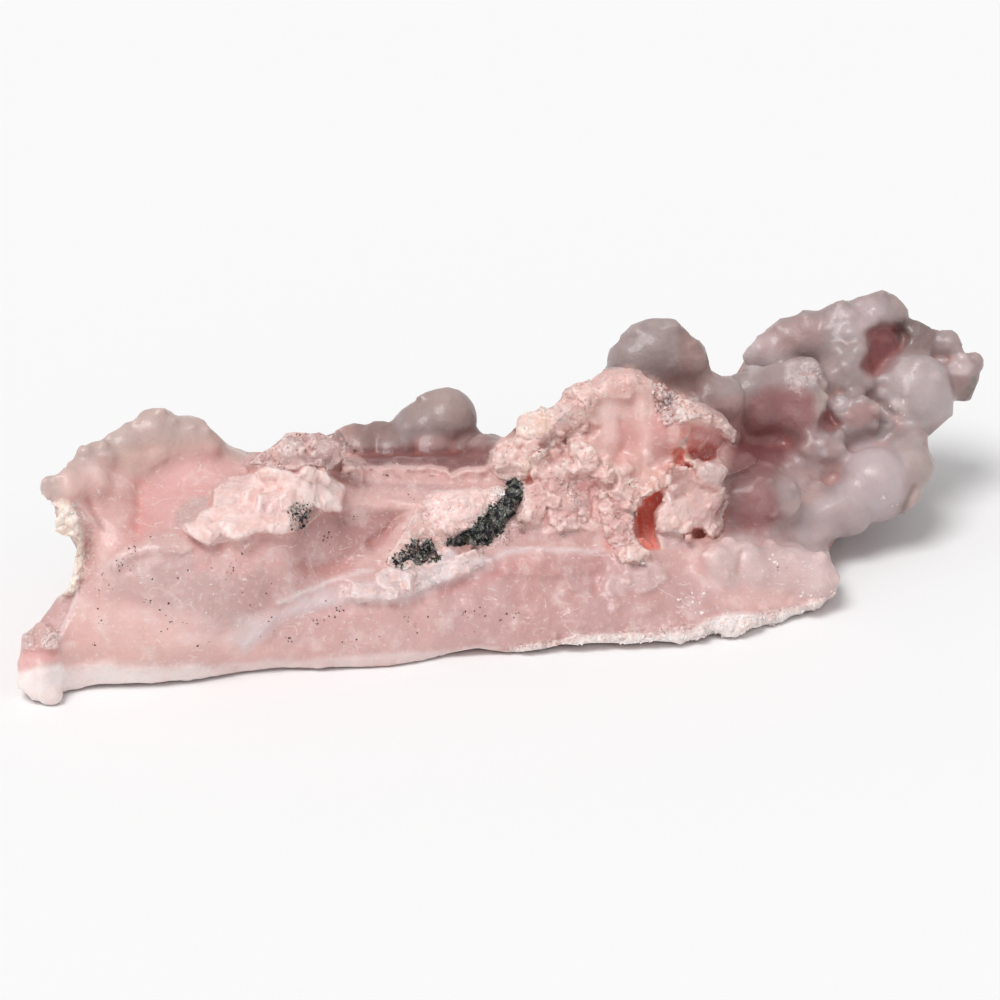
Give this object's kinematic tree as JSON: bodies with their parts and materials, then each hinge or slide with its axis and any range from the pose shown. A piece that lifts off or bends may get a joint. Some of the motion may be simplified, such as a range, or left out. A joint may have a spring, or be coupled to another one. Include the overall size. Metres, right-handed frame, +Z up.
{
  "type": "manganocalcite cluster",
  "caption": "Elongated pink calcite cluster with a broken front face, a jagged peak, grape-like knobs behind it and dark sulphide pockets; rests on its flat underside.",
  "frame": {"origin": "middle of the footprint, on the flat underside", "axes": "+X along the slab from the low left corner to the raised knobs of the right tip, +Y from the broken front face to the back, +Z up"},
  "size_m": [0.2454, 0.144, 0.0608],
  "materials": {
    "manganocalcite": "satin",
    "sulphide": "satin"
  },
  "bodies": {
    "root": {"manganocalcite_mass": "manganocalcite", "sulphide_seam_main": "sulphide", "sulphide_seam_left": "sulphide", "sulphide_spot_shelf": "sulphide"}
  },
  "joints": []
}
